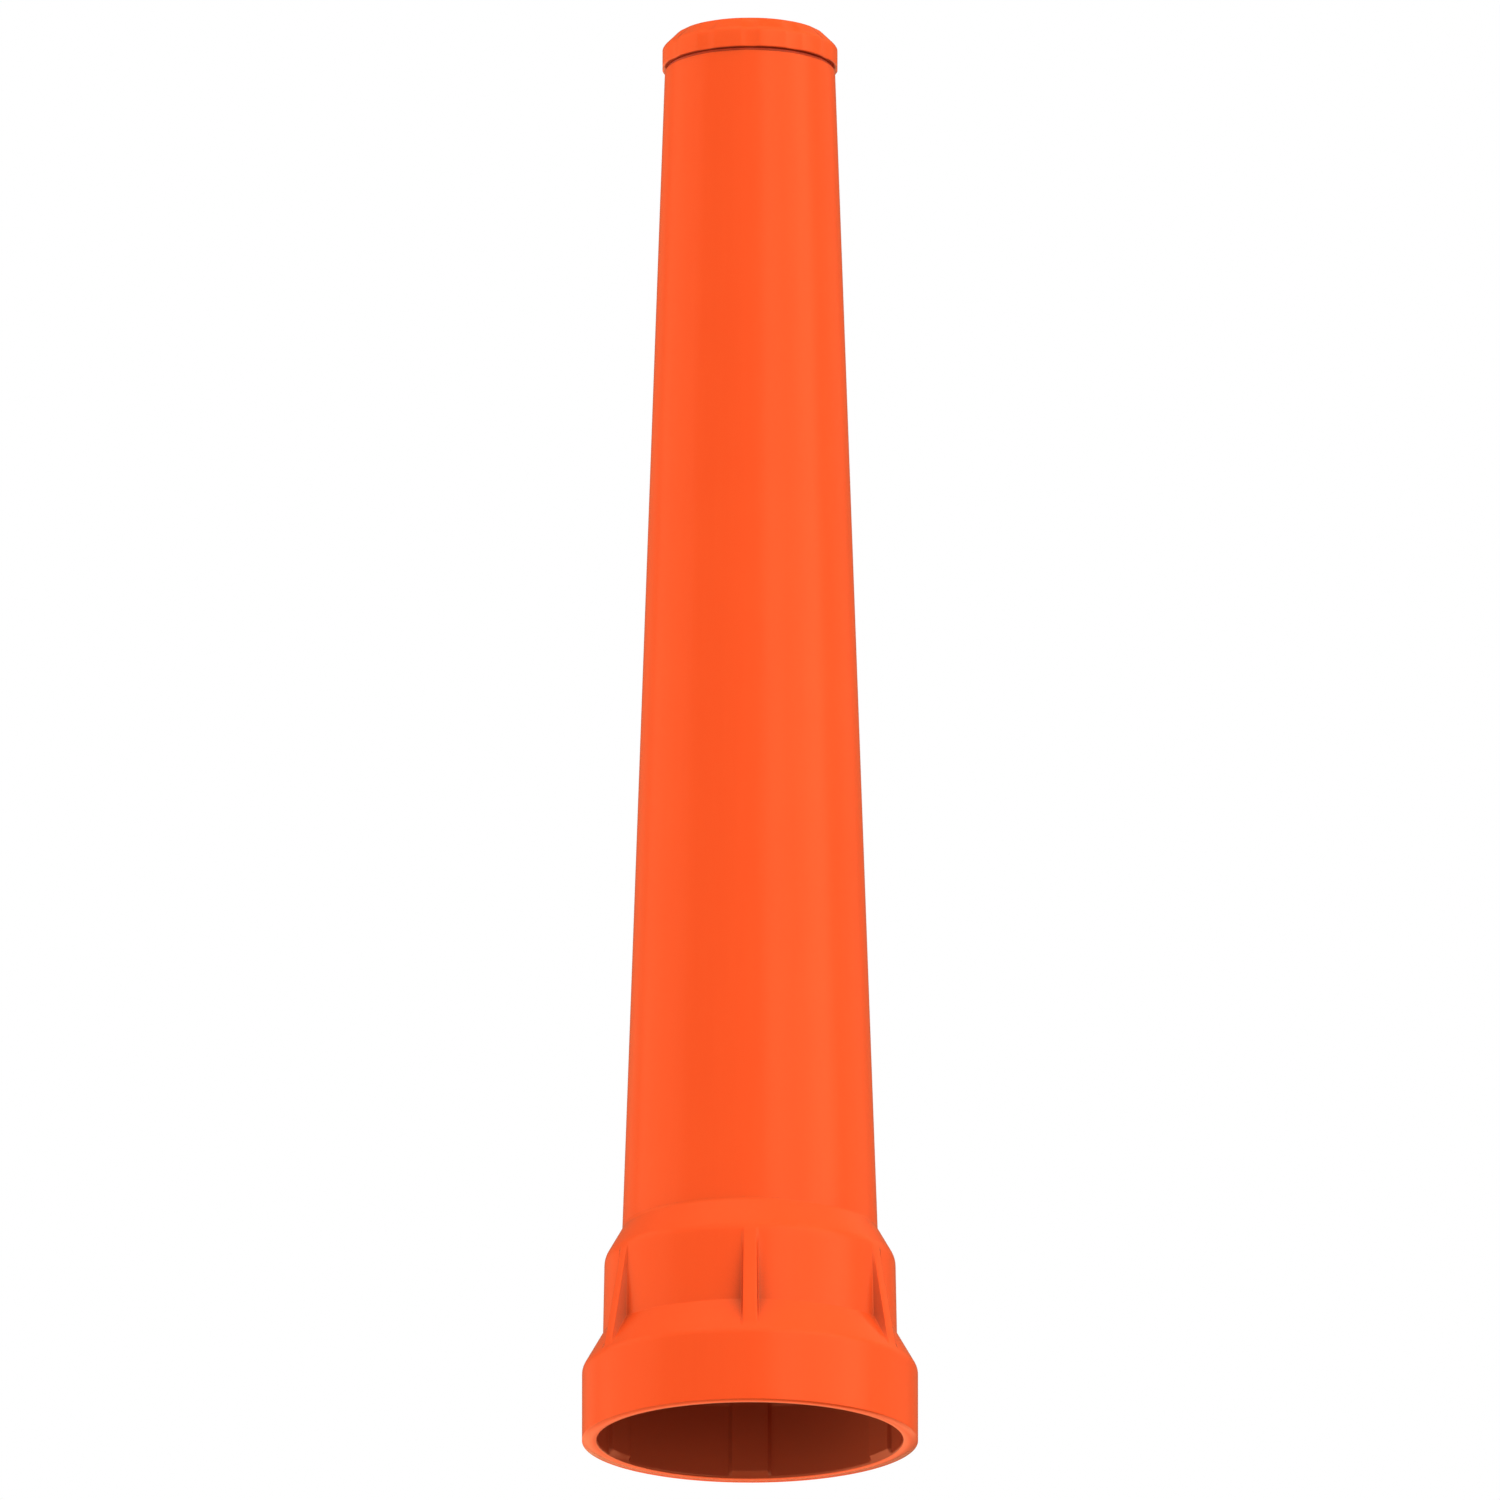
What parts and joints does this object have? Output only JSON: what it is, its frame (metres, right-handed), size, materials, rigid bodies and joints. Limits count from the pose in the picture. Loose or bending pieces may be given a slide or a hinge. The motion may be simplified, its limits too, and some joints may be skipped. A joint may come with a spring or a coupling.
{
  "type": "flashlight traffic wand",
  "caption": "Slip-on flashlight traffic wand: a slender orange cone with a gusseted, ribbed socket for the flashlight's head and a fluted screw cap at its tip.",
  "frame": {"origin": "centre of the socket's open rim, on the wand's axis", "axes": "+Z along the wand's axis towards the end cap; -Y is the front, where one gusset stands; +X to the right"},
  "size_m": [0.046, 0.046, 0.1995],
  "materials": {
    "tube_plastic": "satin translucent safety orange",
    "socket_plastic": "satin safety orange",
    "cap_plastic": "satin safety orange",
    "seal_rubber": "dull red-brown"
  },
  "bodies": {
    "wand": {"light_tube": "tube_plastic", "torch_socket": "socket_plastic"},
    "seal": {"cap_seal": "seal_rubber"},
    "cap": {"end_cap": "cap_plastic"}
  },
  "joints": [
    {"name": "cap_rise", "type": "slide", "parent": "wand", "child": "seal", "axis": [0, 0, 1], "range_m": [0, 0.00751]},
    {"name": "cap_turn", "type": "hinge", "parent": "seal", "child": "cap", "pos_m": [0, 0, 0.195], "axis": [0, 0, 1], "range_deg": [0, 1080]}
  ],
  "couplings": [
    {"joint": "cap_rise", "follows": "cap_turn", "m_per_rad": 0.00039789}
  ]
}
